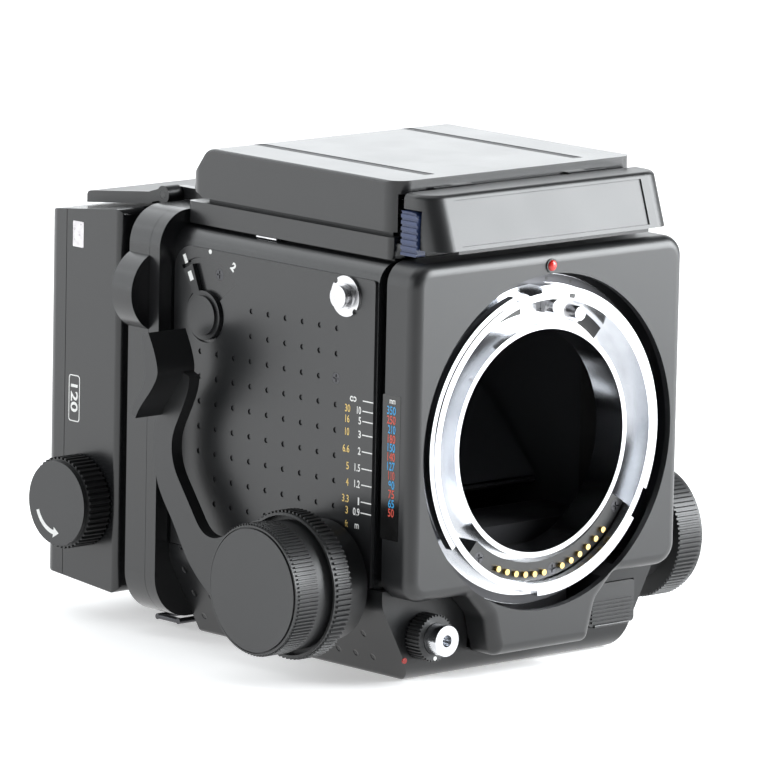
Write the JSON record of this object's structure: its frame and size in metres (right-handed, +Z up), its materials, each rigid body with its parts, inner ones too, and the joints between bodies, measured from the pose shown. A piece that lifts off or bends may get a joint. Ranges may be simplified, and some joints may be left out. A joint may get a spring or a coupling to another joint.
{
  "type": "medium format film camera",
  "caption": "Medium format single lens reflex with bellows focusing, waist level finder and a revolving roll film back, shown without a lens.",
  "frame": {"origin": "mouth of the tripod socket, in the plane of the flat underside", "axes": "+Z up; -Y out of the lens mount along the lens axis; +X to the right as seen from the front"},
  "size_m": [0.1473, 0.1493, 0.1325],
  "materials": {
    "body_paint": "semi-gloss black enamel",
    "black_plastic": "moulded black, semi-gloss",
    "panel_plastic": "black satin with dimples",
    "knob_plastic": "black satin, knurled",
    "mount_chrome": "bright chrome",
    "inner_metal": "machined alloy",
    "steel": "ground steel",
    "brass": "bearing brass",
    "gold_pins": "gold plated",
    "contact_black": "black insulator",
    "flock_black": "dead matt black",
    "bellows_cloth": "matt black pleated cloth",
    "mirror": "front silvered",
    "clear_glass": "clear",
    "board": "green laminate",
    "cell": "steel can",
    "blue_plastic": "dark blue",
    "spool_plastic": "black moulded"
  },
  "bodies": {
    "body": {"body_shell": "body_paint", "left_side_panel": "panel_plastic", "right_side_panel": "panel_plastic", "base_housing": "body_paint", "tripod_bush": "steel", "shaft_bushes": "brass", "strap_studs": "mount_chrome", "panel_screws": "steel", "mirror_box": "flock_black", "focusing_screen": "clear_glass", "circuit_board": "board", "rail_guides": "inner_metal", "battery": "cell", "accessory_shoe": "mount_chrome", "sync_terminal": "mount_chrome", "finder_base": "body_paint", "nameplate_block": "black_plastic", "adapter_frame": "body_paint", "release_spring": "steel"},
    "front_standard": {"front_panel": "black_plastic", "mount_ring": "mount_chrome", "contact_block": "contact_black", "contact_pins": "gold_pins", "mount_screws": "steel", "standard_frame": "inner_metal", "rack_rails": "inner_metal", "bellows": "bellows_cloth"},
    "cocking_ring": {"cocking_ring": "steel"},
    "focus_shaft": {"focus_shaft": "steel", "coarse_focus_ring": "knob_plastic", "right_focus_knob": "knob_plastic"},
    "fine_focus_knob": {"fine_focus_knob": "knob_plastic"},
    "cocking_lever": {"cocking_lever": "black_plastic"},
    "selector": {"selector_lever": "black_plastic"},
    "release_button": {"release_button": "mount_chrome"},
    "release_collar": {"release_collar": "black_plastic"},
    "battery_door": {"battery_door": "black_plastic"},
    "shutter_dial": {"shutter_dial": "black_plastic"},
    "focus_lock": {"focus_lock": "black_plastic"},
    "finder_catch": {"finder_catch": "blue_plastic"},
    "mirror": {"mirror_carrier": "flock_black", "mirror_glass": "mirror"},
    "light_baffle": {"light_baffle": "flock_black"},
    "hood_lid": {"hood_lid": "body_paint"},
    "hood_leaf_left": {"hood_leaf_left": "body_paint"},
    "hood_leaf_right": {"hood_leaf_right": "body_paint"},
    "hood_leaf_rear": {"hood_leaf_rear": "body_paint"},
    "loupe": {"loupe_frame": "flock_black", "loupe_lens": "clear_glass"},
    "revolving_back": {"adapter_plate": "body_paint", "back_case": "body_paint", "film_insert": "inner_metal", "pressure_plate": "flock_black"},
    "back_lock_flap": {"back_lock_flap": "black_plastic"},
    "back_door": {"back_door": "body_paint"},
    "door_latch": {"door_latch": "black_plastic"},
    "dark_slide": {"dark_slide": "steel"},
    "wind_knob": {"wind_knob": "knob_plastic", "take_up_spool": "spool_plastic"},
    "supply_spool": {"supply_spool": "spool_plastic"}
  },
  "joints": [
    {"name": "focus_slide", "type": "slide", "parent": "body", "child": "front_standard", "axis": [0, -1, 0], "range_m": [0, 0.046], "deforming": ["bellows"]},
    {"name": "focus_shaft_turn", "type": "hinge", "parent": "body", "child": "focus_shaft", "pos_m": [0, -0.0246, 0.0261], "axis": [-1, 0, 0], "range_deg": [0, 380]},
    {"name": "fine_knob_turn", "type": "hinge", "parent": "body", "child": "fine_focus_knob", "pos_m": [-0.069, -0.0246, 0.0261], "axis": [-1, 0, 0], "range_deg": [0, 1510]},
    {"name": "cocking_lever_swing", "type": "hinge", "parent": "body", "child": "cocking_lever", "pos_m": [-0.054, -0.0246, 0.0261], "axis": [1, 0, 0], "range_deg": [0, 78], "stiffness_Nm_per_rad": 0.05, "springref_deg": -17.19},
    {"name": "cocking_ring_turn", "type": "hinge", "parent": "front_standard", "child": "cocking_ring", "pos_m": [0, -0.048, 0.0616], "axis": [0, 1, 0], "range_deg": [-1, 33]},
    {"name": "selector_turn", "type": "hinge", "parent": "body", "child": "selector", "pos_m": [-0.0495, 0.0262, 0.0892], "axis": [1, 0, 0], "range_deg": [0, 66]},
    {"name": "release_press", "type": "slide", "parent": "body", "child": "release_button", "axis": [0, 1, 0], "range_m": [0, 0.0026], "stiffness_N_per_m": 400, "springref_m": -0.002, "deforming": ["release_spring"]},
    {"name": "release_lock_turn", "type": "hinge", "parent": "body", "child": "release_collar", "pos_m": [-0.0344, -0.0475, 0.0124], "axis": [0, 1, 0], "range_deg": [0, 90]},
    {"name": "battery_door_swing", "type": "hinge", "parent": "body", "child": "battery_door", "pos_m": [0.03385, -0.0455, 0.0072], "axis": [1, 0, 0], "range_deg": [0, 90]},
    {"name": "shutter_dial_turn", "type": "hinge", "parent": "body", "child": "shutter_dial", "pos_m": [0.053, 0.01, 0.095], "axis": [1, 0, 0], "range_deg": [0, 300]},
    {"name": "focus_lock_turn", "type": "hinge", "parent": "body", "child": "focus_lock", "pos_m": [0.051, -0.0246, 0.0261], "axis": [1, 0, 0], "range_deg": [0, 35]},
    {"name": "finder_catch_slide", "type": "slide", "parent": "body", "child": "finder_catch", "axis": [0, 0, -1], "range_m": [0, 0.0009], "stiffness_N_per_m": 300, "springref_m": -0.001},
    {"name": "mirror_rise", "type": "hinge", "parent": "body", "child": "mirror", "pos_m": [0, 0.0332, 0.08844], "axis": [-1, 0, 0], "range_deg": [0, 45], "stiffness_Nm_per_rad": 0.05, "springref_deg": -34.38},
    {"name": "light_baffle_rise", "type": "hinge", "parent": "body", "child": "light_baffle", "pos_m": [0, 0.0352, 0.0846], "axis": [-1, 0, 0], "range_deg": [0, 90]},
    {"name": "hood_open", "type": "hinge", "parent": "body", "child": "hood_lid", "pos_m": [0, -0.0421, 0.1292], "axis": [1, 0, 0], "range_deg": [0, 90]},
    {"name": "hood_leaf_left_rise", "type": "hinge", "parent": "body", "child": "hood_leaf_left", "pos_m": [-0.0403, 0, 0.1274], "axis": [0, -1, 0], "range_deg": [0, 90]},
    {"name": "hood_leaf_right_rise", "type": "hinge", "parent": "body", "child": "hood_leaf_right", "pos_m": [0.0403, 0, 0.1274], "axis": [0, 1, 0], "range_deg": [0, 90]},
    {"name": "hood_leaf_rear_rise", "type": "hinge", "parent": "body", "child": "hood_leaf_rear", "pos_m": [0, 0.0336, 0.1237], "axis": [-1, 0, 0], "range_deg": [0, 90]},
    {"name": "loupe_swing", "type": "hinge", "parent": "hood_lid", "child": "loupe", "pos_m": [0, 0.0019, 0.1297], "axis": [-1, 0, 0], "range_deg": [0, 90]},
    {"name": "back_revolve", "type": "hinge", "parent": "body", "child": "revolving_back", "pos_m": [0, 0.047, 0.0616], "axis": [0, 1, 0], "range_deg": [0, 90]},
    {"name": "back_lock_flap_lift", "type": "hinge", "parent": "revolving_back", "child": "back_lock_flap", "pos_m": [0, 0.0568, 0.1167], "axis": [1, 0, 0], "range_deg": [0, 80]},
    {"name": "back_door_swing", "type": "hinge", "parent": "revolving_back", "child": "back_door", "pos_m": [0, 0.0845, 0.0082], "axis": [-1, 0, 0], "range_deg": [0, 90]},
    {"name": "door_latch_slide", "type": "slide", "parent": "revolving_back", "child": "door_latch", "axis": [0, 0, -1], "range_m": [0, 0.005]},
    {"name": "dark_slide_pull", "type": "slide", "parent": "revolving_back", "child": "dark_slide", "axis": [0, 0, -1], "range_m": [0, 0.078]},
    {"name": "wind_knob_turn", "type": "hinge", "parent": "revolving_back", "child": "wind_knob", "pos_m": [-0.052, 0.0768, 0.0316], "axis": [-1, 0, 0], "continuous": true},
    {"name": "supply_spool_turn", "type": "hinge", "parent": "revolving_back", "child": "supply_spool", "pos_m": [0, 0.0768, 0.0915], "axis": [-1, 0, 0], "continuous": true}
  ],
  "couplings": [
    {"joint": "focus_shaft_turn", "follows": "focus_slide", "rad_per_m": 142.86},
    {"joint": "fine_knob_turn", "follows": "focus_slide", "rad_per_m": 571.43},
    {"joint": "cocking_ring_turn", "follows": "cocking_lever_swing", "ratio": 0.41},
    {"joint": "light_baffle_rise", "follows": "mirror_rise", "ratio": 2},
    {"joint": "hood_leaf_left_rise", "follows": "hood_open", "ratio": 1},
    {"joint": "hood_leaf_right_rise", "follows": "hood_open", "ratio": 1},
    {"joint": "hood_leaf_rear_rise", "follows": "hood_open", "ratio": 1},
    {"joint": "loupe_swing", "follows": "hood_open", "ratio": 1},
    {"joint": "supply_spool_turn", "follows": "wind_knob_turn", "ratio": 1}
  ]
}
